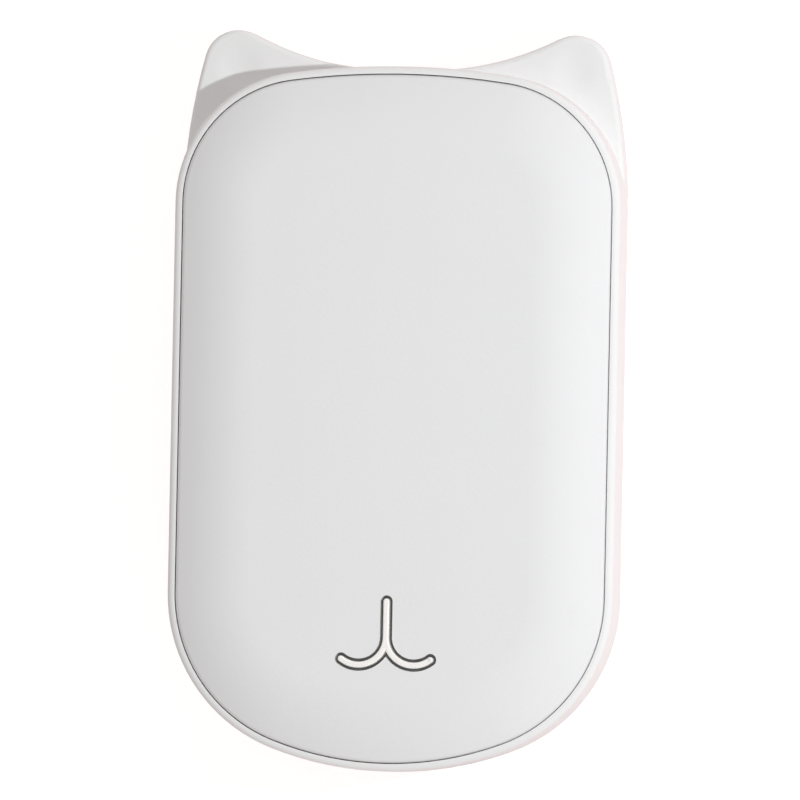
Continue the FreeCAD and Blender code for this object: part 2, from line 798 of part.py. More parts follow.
def make_mid_frame():
    """Frame with an upright front half, a rear half drawn in, two ears and a ledge for the covers."""
    front = prism("frame_front", LIP, MIDDLE, FRONT_LIP)
    round_edges(front, front.Tip, cell.lip_rounding, at_level(FRONT_LIP))
    rear = new_body("frame_rear")
    flank = outline_loft(rear, "PartDesign::AdditiveLoft", LIP, FLANK, cell.rear_taper,
                         MIDDLE, REAR_LIP - MIDDLE)
    round_edges(rear, flank, cell.lip_rounding, at_level(REAR_LIP))
    ear = make_ear()
    outside = fuse(front, rear, ear, mirror(ear))
    bore = fuse(
        prism("rear_recess", REAR_PANEL.inset(-cell.seam_gap), REAR_LIP - 1, WEB_BOTTOM),
        prism("front_recess", BORE, WEB_TOP, FRONT_LIP + 1),
        prism("window", PANEL.inset(cell.ledge_inset), WEB_BOTTOM - 1, WEB_TOP + 1),
    )
    ring = cut(outside, bore)
    lugs = [rod(cell.lug_radius, x, y, WEB_BOTTOM, WEB_TOP) for x, y in LUGS]
    half_height = cell.port_block_height / 2
    side = cell.port_block_half_width
    block_limit = prism("block_limit", BORE.inset(-cell.lip_width / 2),
                        MIDDLE - half_height, MIDDLE + half_height)
    block_space = box((-side, -LIP.half_length, MIDDLE - half_height),
                      (side, PORT_FACE, MIDDLE + half_height))
    solid = fuse(ring, common(block_space, block_limit), *lugs)
    holes = [rod(cell.screw_radius + cell.button_clearance, x, y, WEB_BOTTOM - 1, WEB_TOP + 1)
             for x, y in LUGS]
    outer_end = -LIP.half_length - 1
    gap = 2 * cell.usb_clearance
    holes.append(slot_bar("usb_hole", -cell.port_spacing, cell.usb_width + gap,
                          cell.usb_height + gap, outer_end, PORT_BACK))
    holes.append(slot_bar("usb_recess", -cell.port_spacing, cell.usb_mouth_width,
                          cell.usb_mouth_height, outer_end, USB_MOUTH))
    gap = 2 * cell.button_clearance
    holes.append(slot_bar("button_hole", cell.port_spacing, cell.button_width + gap,
                          cell.button_height + gap, outer_end, PORT_BACK))
    gap = gap + 2 * cell.button_flange_margin
    holes.append(slot_bar("flange_room", cell.port_spacing, cell.button_width + gap,
                          cell.button_height + gap, PORT_FACE, PORT_BACK))
    keep(cut(solid, fuse(*holes)), "mid_frame")


def make_light_guide():
    body = new_body("light_guide_body")
    flange_low = FRONT_CEILING - cell.guide_flange
    half = cell.mouth_stroke / 2
    side = GUIDE_SIDE
    low = MOUTH_FORK - cell.mouth_arm_radius - half - cell.guide_margin
    high = MOUTH_TOP + cell.guide_margin / 2
    sketch = new_sketch(body, "XY_Plane", flange_low)
    draw_polygon(sketch, [(-side, low), (side, low), (side, high), (-side, high)])
    pad(body, sketch, cell.guide_flange)
    sketch = new_sketch(body, "XY_Plane", flange_low)
    draw_circle(sketch, 0, MOUTH_FORK, cell.guide_post_radius)
    pad(body, sketch, flange_low - LED_TOP - cell.led_gap, backwards=True)
    top = CASE_DEPTH + cell.mouth_rise
    strokes = mouth_strokes(body, FRONT_CEILING, half, top - FRONT_CEILING, pad)
    round_edges(body, strokes, cell.mouth_rounding, at_level(top))
    keep(body, "mouth_light_guide")


def make_button():
    """Flush button: an oval bar cut to the curve of the frame, with a flange behind the block."""
    x = cell.port_spacing
    margin = 2 * cell.button_flange_margin
    stem = slot_bar("button_stem", x, cell.button_width, cell.button_height,
                    -LIP.half_length - 1, FLANGE_FRONT)
    flange = slot_bar("button_flange", x, cell.button_width + margin, cell.button_height + margin,
                      FLANGE_FRONT, FLANGE_BACK)
    limit = prism("button_limit", LIP.inset(cell.button_recess), MIDDLE - 10, MIDDLE + 10)
    keep(common(fuse(stem, flange), limit), "power_button")
    keep(slot_bar("plunger_body", x, cell.plunger_width, cell.plunger_height,
                  FLANGE_BACK, FLANGE_BACK + cell.plunger_length), "switch_plunger")
    front = FLANGE_BACK + cell.plunger_reach
    case = box((x - cell.switch_width / 2, front, BOARD_BOTTOM - cell.switch_height),
               (x + cell.switch_width / 2, front + cell.switch_depth, BOARD_BOTTOM))
    gap = 2 * cell.plunger_clearance
    depth = cell.plunger_length - cell.plunger_reach + cell.button_travel + cell.plunger_clearance
    well = slot_bar("plunger_well", x, cell.plunger_width + gap, cell.plunger_height + gap,
                    front - 1, front + depth)
    keep(cut(case, well), "switch_body")


def make_socket():
    x = -cell.port_spacing
    back = USB_MOUTH + cell.usb_length
    inner_back = back - 2 * cell.usb_wall
    inner_width = cell.usb_width - 2 * cell.usb_wall
    inner_height = cell.usb_height - 2 * cell.usb_wall
    tube = slot_bar("usb_tube", x, cell.usb_width, cell.usb_height, USB_MOUTH, back)
    hollow = slot_bar("usb_hollow", x, inner_width, inner_height, USB_MOUTH - 1, inner_back)
    keep(cut(tube, hollow), "usb_c_shell")
    base_front = inner_back - 1.6
    base = slot_bar("usb_base", x, inner_width - 0.04, inner_height - 0.04, base_front, inner_back)
    half = cell.usb_tongue_thickness / 2
    tongue = box((x - cell.usb_tongue_width / 2, USB_MOUTH + 0.9, MIDDLE - half),
                 (x + cell.usb_tongue_width / 2, base_front + 0.3, MIDDLE + half))
    keep(fuse(base, tongue), "usb_c_tongue")
    strips = []
    for column in range(8):
        left = x + (column - 3.5) * cell.usb_contact_pitch - cell.usb_contact_width / 2
        right = left + cell.usb_contact_width
        for low in (MIDDLE + half, MIDDLE - half - cell.usb_contact_thickness):
            strips.append(box((left, USB_MOUTH + 1.3, low),
                              (right, base_front, low + cell.usb_contact_thickness)))
    keep(group(strips), "usb_c_contacts")


def screw(x, y, seat, length):
    shank = rod(cell.screw_radius, x, y, seat - length, seat)
    head = rod(cell.screw_head_radius, x, y, seat, seat + cell.screw_head_height)
    return fuse(shank, head)


def make_screws():
    keep(group([screw(x, y, WEB_TOP, cell.shell_screw_length) for x, y in LUGS]), "shell_screws")
    keep(group([screw(x, y, BOARD_TOP, cell.board_screw_length) for x, y in POSTS]), "board_screws")


def chip(x, y, low, high, lead_low, width, length, pins):
    """Package between two levels with a row of leads on both sides, near the board."""
    left = x - width / 2
    right = x + width / 2
    parts = [box((left, y - length / 2, low), (right, y + length / 2, high))]
    pitch = length / pins
    for index in range(pins):
        near = y - length / 2 + pitch * (index + 0.32)
        parts.append(box((left - 0.8, near, lead_low),
                         (right + 0.8, near + pitch * 0.36, lead_low + 0.3)))
    return fuse(*parts)


def make_board():
    limit = prism("board_limit", PANEL.inset(cell.board_inset), BOARD_BOTTOM, BOARD_TOP)
    space = box((-BOARD_SIDE, BOARD_LOW, BOARD_BOTTOM), (BOARD_SIDE, BOARD_HIGH, BOARD_TOP))
    below = BOARD_BOTTOM - 1
    above = BOARD_TOP + 1
    holes = [rod(cell.screw_radius + cell.button_clearance, x, y, below, above) for x, y in POSTS]
    flange_side = cell.button_width / 2 + cell.button_flange_margin + cell.board_gap
    flange_end = FLANGE_BACK + cell.button_travel + cell.board_gap
    holes.append(box((cell.port_spacing - flange_side, BOARD_LOW - 1, below),
                     (cell.port_spacing + flange_side, flange_end, above)))
    keep(cut(common(limit, space), fuse(*holes)), "main_board")
    keep(chip(-2.5, POST_Y + 5.1, BOARD_BOTTOM - 1.5, BOARD_BOTTOM, BOARD_BOTTOM - 0.3, 4.0, 5.0, 4),
         "charge_controller")
    keep(chip(5.0, POST_Y + 6.5, BOARD_TOP, BOARD_TOP + 1.1, BOARD_TOP, 4.0, 3.6, 3),
         "heater_driver")
    coil = rounded_plate("coil_body", (2, POST_Y + 2.6, BOARD_BOTTOM - 2.6),
                         (8, POST_Y + 8.6, BOARD_BOTTOM), 1.0)
    sketch = new_sketch(coil, "XY_Plane", BOARD_BOTTOM - 2.6)
    draw_circle(sketch, 5, POST_Y + 5.6, 2.4)
    pad(coil, sketch, Size(0.4), backwards=True)
    keep(coil, "power_inductor")
    capacitors = []
    for index in range(4):
        left = -8.0 + 3.2 * index
        capacitors.append(box((left, POST_Y - 3.9, BOARD_BOTTOM - 1.25),
                              (left + 2.0, POST_Y - 2.65, BOARD_BOTTOM)))
    keep(group(capacitors), "board_capacitors")
    resistors = []
    for index in range(5):
        left = -8.4 + 3.8 * index
        resistors.append(box((left, POST_Y + 3.2, BOARD_TOP),
                             (left + 1.6, POST_Y + 4.0, BOARD_TOP + 0.5)))
    keep(group(resistors), "board_resistors")
    lamp = box((-1.6, MOUTH_FORK - 1.4, BOARD_TOP), (1.6, MOUTH_FORK + 1.4, LED_TOP - 0.2))
    lens = rod(1.2, 0, MOUTH_FORK, LED_TOP - 0.2, LED_TOP)
    keep(fuse(lamp, lens), "status_led")


def make_pouch(name, low, tab_low):
    """Flat cell: a rounded pouch with a thin sealed terrace where the tabs leave it."""
    high = low + cell.cell_thickness
    pouch = rounded_plate(name, (-CELL_SIDE, CELL_LOW, low), (CELL_SIDE, CELL_HIGH, high),
                          cell.cell_rounding)
    round_edges(pouch, pouch.Tip, cell.cell_rounding / 2, at_level(low, high))
    terrace = box((3 - CELL_SIDE, CELL_HIGH - 1, tab_low - cell.tab_thickness),
                  (CELL_SIDE - 3, TERRACE_HIGH, tab_low + 2 * cell.tab_thickness))
    return fuse(pouch, terrace)


def make_battery():
    rear_low = REAR_FLOOR + HEAT_STACK
    front_low = MIDDLE + cell.cell_tape / 2
    rear_tab = PROTECTION_BOTTOM - cell.tab_thickness
    keep(make_pouch("rear_pouch", rear_low, rear_tab), "rear_cell")
    keep(make_pouch("front_pouch", front_low, PROTECTION_TOP), "front_cell")
    side = CELL_SIDE - 2
    keep(rounded_plate("tape_body", (-side, CELL_LOW + 2, MIDDLE - cell.cell_tape / 2),
                       (side, CELL_HIGH - 2, front_low), Size(2)), "cell_tape")
    tabs = []
    for low in (rear_tab, PROTECTION_TOP):
        for left in (-11.5, -4.5):
            tabs.append(box((left, TERRACE_HIGH, low),
                            (left + cell.tab_width, TERRACE_HIGH + cell.tab_length,
                             low + cell.tab_thickness)))
    keep(group(tabs), "cell_tabs")
    side = cell.protection_half_width
    keep(box((-side, PROTECTION_LOW, PROTECTION_BOTTOM), (side, PROTECTION_HIGH, PROTECTION_TOP)),
         "protection_board")
    keep(group([box((left, PROTECTION_LOW + 0.8, PROTECTION_TOP),
                    (left + 3.0, PROTECTION_HIGH - 0.8, PROTECTION_TOP + 1.0))
                for left in (1.0, 5.0)]), "protection_transistors")
    row = (PROTECTION_LOW + PROTECTION_HIGH) / 2
    run = CELL_SIDE + 0.3 + cell.lead_radius
    for label, level, end in (
        ("battery_lead_positive", PROTECTION_TOP + cell.lead_radius, BOARD_SIDE - 2.5),
        ("battery_lead_negative", PROTECTION_BOTTOM - cell.lead_radius, BOARD_SIDE - 6.0),
    ):
        points = [(side - 3, row, level), (run, row, level), (run, BOARD_HIGH - 2.3, level),
                  (end, BOARD_HIGH - 2.3, level), (end, BOARD_HIGH - 2.3, BOARD_BOTTOM)]
        bends = (cell.lead_bend, cell.lead_bend, cell.lead_end_bend)
        keep(lead(points, cell.lead_radius, bends), label)


def lead(points, radius, bends):
    """Sweeps a round lead along straight runs joined by tangent arcs."""
    spots = [FreeCAD.Vector(*(Size.of(item).value for item in point)) for point in points]
    edges = []
    here = spots[0]
    for before, corner, after, bend in zip(spots, spots[1:], spots[2:], bends):
        into = (corner - before).normalize()
        out = (after - corner).normalize()
        half_angle = into.getAngle(out) / 2
        setback = bend.value * math.tan(half_angle)
        inward = (out - into).normalize()
        reach = bend.value / math.cos(half_angle) - bend.value
        start = corner - into * setback
        end = corner + out * setback
        edges.append(Part.LineSegment(here, start).toShape())
        edges.append(Part.Arc(start, corner + inward * reach, end).toShape())
        here = end
    edges.append(Part.LineSegment(here, spots[-1]).toShape())
    circle = Part.makeCircle(Size.of(radius).value, spots[0], spots[1] - spots[0])
    item = doc.addObject("Part::Feature", "lead")
    item.Shape = Part.Wire(edges).makePipeShell([Part.Wire([circle])], True, False)
    return item


TAIL_LEFT = cell.film_margin - FILM_SIDE
TAIL_WIDTH = FILM_SIDE - GUIDE_SIDE - 2 * cell.film_margin


def make_film(name, low):
    """Heating film with a tail for its leads at the lower left, beside the light guide."""
    near = PLATE_LOW + cell.film_margin
    far = PLATE_HIGH - cell.film_margin
    tail_right = TAIL_LEFT + TAIL_WIDTH
    body = new_body(name)
    sketch = new_sketch(body, "XY_Plane", low)
    draw_polygon(sketch, [
        (TAIL_LEFT, near - cell.film_tail),
        (tail_right, near - cell.film_tail),
        (tail_right, near),
        (FILM_SIDE, near),
        (FILM_SIDE, far),
        (-FILM_SIDE, far),
        (-FILM_SIDE, near),
        (TAIL_LEFT, near),
    ])
    pad(body, sketch, cell.film_thickness)
    return body


def make_heater(which, outer, direction, board_face):
    """Plate, film, foam and leads between a cover and its cell, stacked along the direction."""
    levels = [outer]
    for thickness in (cell.heat_plate_thickness, cell.film_thickness, cell.foam_thickness):
        levels.append(levels[-1] + thickness * direction)
    spans = [sorted(pair, key=lambda level: level.value) for pair in zip(levels, levels[1:])]
    keep(rounded_plate(f"{which}_plate_body", (-PLATE_SIDE, PLATE_LOW, spans[0][0]),
                       (PLATE_SIDE, PLATE_HIGH, spans[0][1]), cell.heat_plate_corner),
         f"{which}_heat_plate")
    keep(make_film(f"{which}_film_body", spans[1][0]), f"{which}_heater_film")
    foam_side = PLATE_SIDE - cell.foam_margin
    keep(rounded_plate(f"{which}_foam_body", (-foam_side, CELL_LOW + 4.5, spans[2][0]),
                       (foam_side, CELL_HIGH - 1, spans[2][1]), cell.foam_margin),
         f"{which}_foam_pad")
    level = levels[2] + cell.heater_lead_radius * direction
    start = PLATE_LOW + cell.film_margin - cell.film_tail + 1.5
    leads = []
    for share in (1 / 3, 2 / 3):
        x = TAIL_LEFT + TAIL_WIDTH * round(share, 4)
        points = [(x, start, level), (x, LEAD_ROW, level), (x, LEAD_ROW, board_face)]
        leads.append(lead(points, cell.heater_lead_radius, (cell.lead_bend,)))
    keep(group(leads), f"{which}_heater_leads")
    return levels[2]


def make_sensor(film_face):
    """Temperature sensor on the front film with its two leads to the board."""
    near = PLATE_LOW + cell.film_margin
    low = film_face - cell.sensor_height
    keep(rounded_plate("sensor_body", (9, near, low), (11, near + 1.6, film_face), Size(0.4)),
         "thermistor")
    level = film_face - cell.sensor_height / 2
    leads = []
    for x in (9.5, 10.5):
        points = [(x, near, level), (x, LEAD_ROW, level), (x, LEAD_ROW, BOARD_TOP)]
        leads.append(lead(points, cell.sensor_lead_radius, (cell.lead_bend,)))
    keep(group(leads), "thermistor_leads")


make_front_shell()
make_mid_frame()
make_rear_shell()
make_light_guide()
make_button()
make_socket()
make_board()
make_screws()
make_battery()
make_heater("rear", REAR_FLOOR, 1, BOARD_BOTTOM)
front_film_face = make_heater("front", FRONT_CEILING, -1, BOARD_TOP)
make_sensor(front_film_face)
doc.recompute()

for item in doc.Objects:
    if "Invalid" in item.State or "Error" in item.State:
        raise RuntimeError(f"{item.Label}: {item.State}")
os.makedirs("parts", exist_ok=True)
for item in nodes:
    if item.Shape.isNull() or not item.Shape.isValid():
        raise RuntimeError(f"{item.Label} has no valid shape")
    item.Shape.exportStep(f"parts/{item.Label}.step")
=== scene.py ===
"""Looks of a rechargeable hand warmer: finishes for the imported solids, stage, light and camera."""
import logging
import math
from dataclasses import dataclass, replace
from enum import Enum

import bpy
from mathutils import Matrix, Vector

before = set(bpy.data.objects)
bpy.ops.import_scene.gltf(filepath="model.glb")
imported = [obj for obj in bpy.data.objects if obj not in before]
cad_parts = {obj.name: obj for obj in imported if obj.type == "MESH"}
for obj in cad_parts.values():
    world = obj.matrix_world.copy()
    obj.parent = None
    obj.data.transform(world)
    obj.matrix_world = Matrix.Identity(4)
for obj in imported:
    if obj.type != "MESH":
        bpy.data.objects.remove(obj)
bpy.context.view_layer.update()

MM = 0.001
MICRON = 1e-6
MM_PER_METRE = 1000.0
WHITE = "#FFFFFF"
LOG = logging.getLogger("hand_warmer")

# Layers of ever finer noise in clouds, patches of gloss, grain, creases and wandering tracks
CLOUD_LAYERS = 3.0
PATCH_LAYERS = 2.0
GRAIN_LAYERS = 4.0
CREASE_LAYERS = 1.0
WANDER_LAYERS = 1.0
# Patches of gloss across the width of one cloud
PATCHES_PER_CLOUD = 3
# Range that the noise hardly ever leaves
NOISE_RANGE = (0.3, 0.7)
# Brushed lines run fifty times as far along Y as across; all other relief is even
LINE_STRETCH = (1.0, 0.02, 1.0)
EVEN_STRETCH = (1.0, 1.0, 1.0)
# A wave texture repeats after this share of its scaled length
WAVE_PERIOD = math.pi / 10


def linear(hex_colour: str) -> tuple[float, float, float, float]:
    """Turns an sRGB hex colour into linear light.

    Args:
        hex_colour: Colour such as "#ECECEA".

    Returns:
        Red, green, blue and an alpha of 1.
    """
    channels = [int(hex_colour[i:i + 2], 16) / 255 for i in (1, 3, 5)]
    # The curve of the sRGB standard
    light = [c / 12.92 if c <= 0.04045 else ((c + 0.055) / 1.055) ** 2.4 for c in channels]
    return (*light, 1.0)


def per_metre(size_mm: float) -> float:
    """Gives the texture scale that repeats a pattern every size_mm."""
    return MM_PER_METRE / size_mm


def add_node(
    tree: bpy.types.NodeTree,
    kind: str,
    inputs: dict[str | int, object] | None = None,
    **settings: object,
) -> bpy.types.Node:
    """Adds a node, sets its properties, and sets or links its inputs.

    Args:
        tree: Node tree that gets the node.
        kind: Blender's type name of the node.
        inputs: For each input, by name or number, a value or the socket to link from.
        **settings: Properties of the node.

    Returns:
        The new node.
    """
    node = tree.nodes.new(kind)
    for name, value in settings.items():
        setattr(node, name, value)
    for key, value in (inputs or {}).items():
        if isinstance(value, bpy.types.NodeSocket):
            tree.links.new(value, node.inputs[key])
        else:
            node.inputs[key].default_value = value
    return node


class Axis(Enum):
    """Axis of the shared frame."""

    X = "X"
    Y = "Y"
    Z = "Z"


class Relief(Enum):
    """How a surface was made, which decides the fine relief that breaks its highlights."""

    GRAINED = "spark-eroded mould grain"
    BRUSHED = "lines brushed along the length"
    CREASED = "soft creases of thin foil"
    CELLED = "open cells of cut foam"


@dataclass(frozen=True)
class Finish:
    """A finish with two close tones, an uneven gloss and a fine relief.

    Attributes:
        name: Common name of the material and its surface.
        tone: Main sRGB colour.
        shade: Second sRGB colour that clouds the first.
        cloud_mm: Width of the clouds.
        roughness: Lowest and highest roughness.
        grain_mm: Width of one grain, line, crease or cell of the relief.
        height_um: Height of the relief in micrometres.
        relief: Kind of relief.
        metallic: Share of metal.
        ior: Index of refraction; a metal keeps the default.
    """

    name: str
    tone: str
    shade: str
    cloud_mm: float = 12.0
    roughness: tuple[float, float] = (0.4, 0.5)
    grain_mm: float = 0.4
    height_um: float = 2.0
    relief: Relief = Relief.GRAINED
    metallic: float = 0.0
    ior: float = 1.5

    def material(self) -> bpy.types.Material:
        """Makes the node material.

        Returns:
            The material, ready to assign.
        """
        material = bpy.data.materials.new(self.name)
        material.use_nodes = True
        tree = material.node_tree
        shader = tree.nodes["Principled BSDF"]
        shader.inputs["Metallic"].default_value = self.metallic
        shader.inputs["IOR"].default_value = self.ior
        place = add_node(tree, "ShaderNodeTexCoord").outputs["Object"]
        tree.links.new(self.colour(tree, place), shader.inputs["Base Color"])
        tree.links.new(self.gloss(tree, place), shader.inputs["Roughness"])
        tree.links.new(self.bump(tree, place), shader.inputs["Normal"])
        self.adjust(tree, shader, place)
        return material

    def colour(self, tree: bpy.types.NodeTree, place: bpy.types.NodeSocket) -> bpy.types.NodeSocket:
        """Clouds the main tone with the shade.

        Args:
            tree: Node tree of the material.
            place: Position in the frame, in metres.

        Returns:
            Colour socket.
        """
        clouds = add_node(tree, "ShaderNodeTexNoise", {
            "Vector": place, "Scale": per_metre(self.cloud_mm), "Detail": CLOUD_LAYERS})
        mixed = add_node(tree, "ShaderNodeMix", {
            "Factor": clouds.outputs["Fac"], "A": linear(self.tone), "B": linear(self.shade)},
            data_type="RGBA")
        return mixed.outputs["Result"]

    def gloss(self, tree: bpy.types.NodeTree, place: bpy.types.NodeSocket) -> bpy.types.NodeSocket:
        """Varies the roughness in patches that are smaller than the clouds.

        Args:
            tree: Node tree of the material.
            place: Position in the frame, in metres.

        Returns:
            Roughness socket.
        """
        patches = add_node(tree, "ShaderNodeTexNoise", {
            "Vector": place, "Scale": per_metre(self.cloud_mm / PATCHES_PER_CLOUD),
            "Detail": PATCH_LAYERS})
        least, most = NOISE_RANGE
        low, high = self.roughness
        ranged = add_node(tree, "ShaderNodeMapRange", {
            "Value": patches.outputs["Fac"], "From Min": least, "From Max": most,
            "To Min": low, "To Max": high})
        return ranged.outputs["Result"]

    def bump(self, tree: bpy.types.NodeTree, place: bpy.types.NodeSocket) -> bpy.types.NodeSocket:
        """Raises the fine relief.

        Args:
            tree: Node tree of the material.
            place: Position in the frame, in metres.

        Returns:
            Normal socket.
        """
        scale = per_metre(self.grain_mm)
        if self.relief is Relief.CELLED:
            cells = add_node(tree, "ShaderNodeTexVoronoi", {"Vector": place, "Scale": scale})
            height = cells.outputs["Distance"]
        else:
            stretch = LINE_STRETCH if self.relief is Relief.BRUSHED else EVEN_STRETCH
            drawn = add_node(tree, "ShaderNodeMapping", {"Vector": place, "Scale": stretch})
            layers = CREASE_LAYERS if self.relief is Relief.CREASED else GRAIN_LAYERS
            grains = add_node(tree, "ShaderNodeTexNoise", {
                "Vector": drawn.outputs["Vector"], "Scale": scale, "Detail": layers})
            height = grains.outputs["Fac"]
        raised = add_node(tree, "ShaderNodeBump", {
            "Height": height, "Strength": 1.0, "Distance": self.height_um * MICRON})
        return raised.outputs["Normal"]

    def adjust(
        self,
        tree: bpy.types.NodeTree,
        shader: bpy.types.Node,
        place: bpy.types.NodeSocket,
    ) -> None:
        """Leaves the shader as it is; a special finish changes it here."""


@dataclass(frozen=True)
class PaintedSideReflectionAbs(Finish):
    """White ABS frame with a pink tint painted on the faces that look sideways, standing in for pink
    light reflected from the surroundings.

    Attributes:
        side_reflection: sRGB colour of the painted pink reflection on the sides.
        flat: How upright a face's normal is where the painted reflection begins.
        steep: How upright it is where the painted reflection is full.
    """

    # Pink painted on the sideways faces as reflected light
    side_reflection: str = "#F3EEEF"
    flat: float = 0.85
    steep: float = 0.2

    def colour(self, tree: bpy.types.NodeTree, place: bpy.types.NodeSocket) -> bpy.types.NodeSocket:
        """Paints the pink reflection on the faces that look sideways.

        Args:
            tree: Node tree of the material.
            place: Position in the frame, in metres.

        Returns:
            Colour socket.
        """
        facing = add_node(tree, "ShaderNodeTexCoord").outputs["Normal"]
        parts = add_node(tree, "ShaderNodeSeparateXYZ", {"Vector": facing})
        upright = add_node(tree, "ShaderNodeMath", {0: parts.outputs[Axis.Z.value]},
                           operation="ABSOLUTE")
        sideways = add_node(tree, "ShaderNodeMapRange", {
            "Value": upright.outputs["Value"], "From Min": self.flat, "From Max": self.steep})
        # Mixes in the painted pink reflection where the face looks sideways
        mixed = add_node(tree, "ShaderNodeMix", {
            "Factor": sideways.outputs["Result"], "A": super().colour(tree, place),
            "B": linear(self.side_reflection)}, data_type="RGBA")
        return mixed.outputs["Result"]


@dataclass(frozen=True)
class OpalAcrylic(Finish):
    """Opal acrylic light guide, printed dark grey below its strokes so that no light leaks round them;
    the print also stands in as painted shade at the foot of the slots round the strokes.

    Attributes:
        scatter: Share of the light that scatters inside.
        scatter_mm: Depth to which light scatters.
        scatter_rgb: Share of that depth for red, green and blue.
        glow: Light that the guide gives off from the status lamp behind it.
        glow_tone: sRGB colour of that light.
        print_and_shade_tone: sRGB colour of the dark print, which is also the painted shade in the slots
            round the strokes.
        print_and_shade_top_mm: Height up to which the guide is printed dark, as print and painted shade;
            0 leaves it without print.
    """

    scatter: float = 0.3
    scatter_mm: float = 0.2
    scatter_rgb: tuple[float, float, float] = (1.0, 0.95, 0.9)
    glow: float = 0.04
    glow_tone: str = "#FFFDFA"
    print_and_shade_tone: str = "#4A4848"
    print_and_shade_top_mm: float = 0.0

    def colour(self, tree: bpy.types.NodeTree, place: bpy.types.NodeSocket) -> bpy.types.NodeSocket:
        """Prints the flange dark, which also paints the shade at the foot of the slots, and leaves the
        strokes white.

        Args:
            tree: Node tree of the material.
            place: Position in the frame, in metres.

        Returns:
            Colour socket.
        """
        parts = add_node(tree, "ShaderNodeSeparateXYZ", {"Vector": place})
        # Below this height the guide is dark: print, and painted shade at the foot of the slots
        printed = add_node(tree, "ShaderNodeMath", {
            0: parts.outputs[Axis.Z.value], 1: self.print_and_shade_top_mm * MM}, operation="LESS_THAN")
        mixed = add_node(tree, "ShaderNodeMix", {
            "Factor": printed.outputs["Value"], "A": super().colour(tree, place),
            "B": linear(self.print_and_shade_tone)}, data_type="RGBA")
        return mixed.outputs["Result"]

    def adjust(
        self,
        tree: bpy.types.NodeTree,
        shader: bpy.types.Node,
        place: bpy.types.NodeSocket,
    ) -> None:
        """Lets light scatter inside and adds the faint glow.

        Args:
            tree: Node tree of the material.
            shader: Shader of the material.
            place: Position in the frame, in metres.
        """
        shader.inputs["Subsurface Weight"].default_value = self.scatter
        shader.inputs["Subsurface Radius"].default_value = self.scatter_rgb
        shader.inputs["Subsurface Scale"].default_value = self.scatter_mm * MM
        shader.inputs["Emission Color"].default_value = linear(self.glow_tone)
        shader.inputs["Emission Strength"].default_value = self.glow


@dataclass(frozen=True, kw_only=True)
class Banded(Finish):
    """A body with tinned ends or leads: bands of solder that repeat along one axis.

    Attributes:
        band: sRGB colour of the tinned metal.
        band_mm: Length of the band at each end of a body.
        axis: Axis along which the bands lie.
        start_mm: Where the first body begins on that axis.
        pitch_mm: Distance from one body to the next.
        body_mm: Length of one body.
    """

    band: str = "#C9CCCE"
    band_mm: float
    axis: Axis = Axis.X
    start_mm: float = 0.0
    pitch_mm: float = 1.0
    body_mm: float = 1.0

    def metal(self, tree: bpy.types.NodeTree, place: bpy.types.NodeSocket) -> bpy.types.NodeSocket:
        """Marks the bands.

        Args:
            tree: Node tree of the material.
            place: Position in the frame, in metres.

        Returns:
            Socket that is 1 on a band and 0 on the body.
        """
        parts = add_node(tree, "ShaderNodeSeparateXYZ", {"Vector": place})
        along_mm = add_node(tree, "ShaderNodeMath", {
            0: parts.outputs[self.axis.value], 1: MM_PER_METRE, 2: -self.start_mm},
            operation="MULTIPLY_ADD")
        within = add_node(tree, "ShaderNodeMath", {
            0: along_mm.outputs["Value"], 1: self.pitch_mm}, operation="FLOORED_MODULO")
        middle = add_node(tree, "ShaderNodeMath", {
            0: within.outputs["Value"], 1: self.body_mm / 2}, operation="SUBTRACT")
        distance = add_node(tree, "ShaderNodeMath", {0: middle.outputs["Value"]}, operation="ABSOLUTE")
        ends = add_node(tree, "ShaderNodeMath", {
            0: distance.outputs["Value"], 1: self.body_mm / 2 - self.band_mm},
            operation="GREATER_THAN")
        return ends.outputs["Value"]

    def colour(self, tree: bpy.types.NodeTree, place: bpy.types.NodeSocket) -> bpy.types.NodeSocket:
        """Puts the tinned bands on the body.

        Args:
            tree: Node tree of the material.
            place: Position in the frame, in metres.

        Returns:
            Colour socket.
        """
        mixed = add_node(tree, "ShaderNodeMix", {
            "Factor": self.metal(tree, place), "A": super().colour(tree, place),
            "B": linear(self.band)}, data_type="RGBA")
        return mixed.outputs["Result"]

    def adjust(
        self,
        tree: bpy.types.NodeTree,
        shader: bpy.types.Node,
        place: bpy.types.NodeSocket,
    ) -> None:
        """Makes the bands metal."""
        tree.links.new(self.metal(tree, place), shader.inputs["Metallic"])


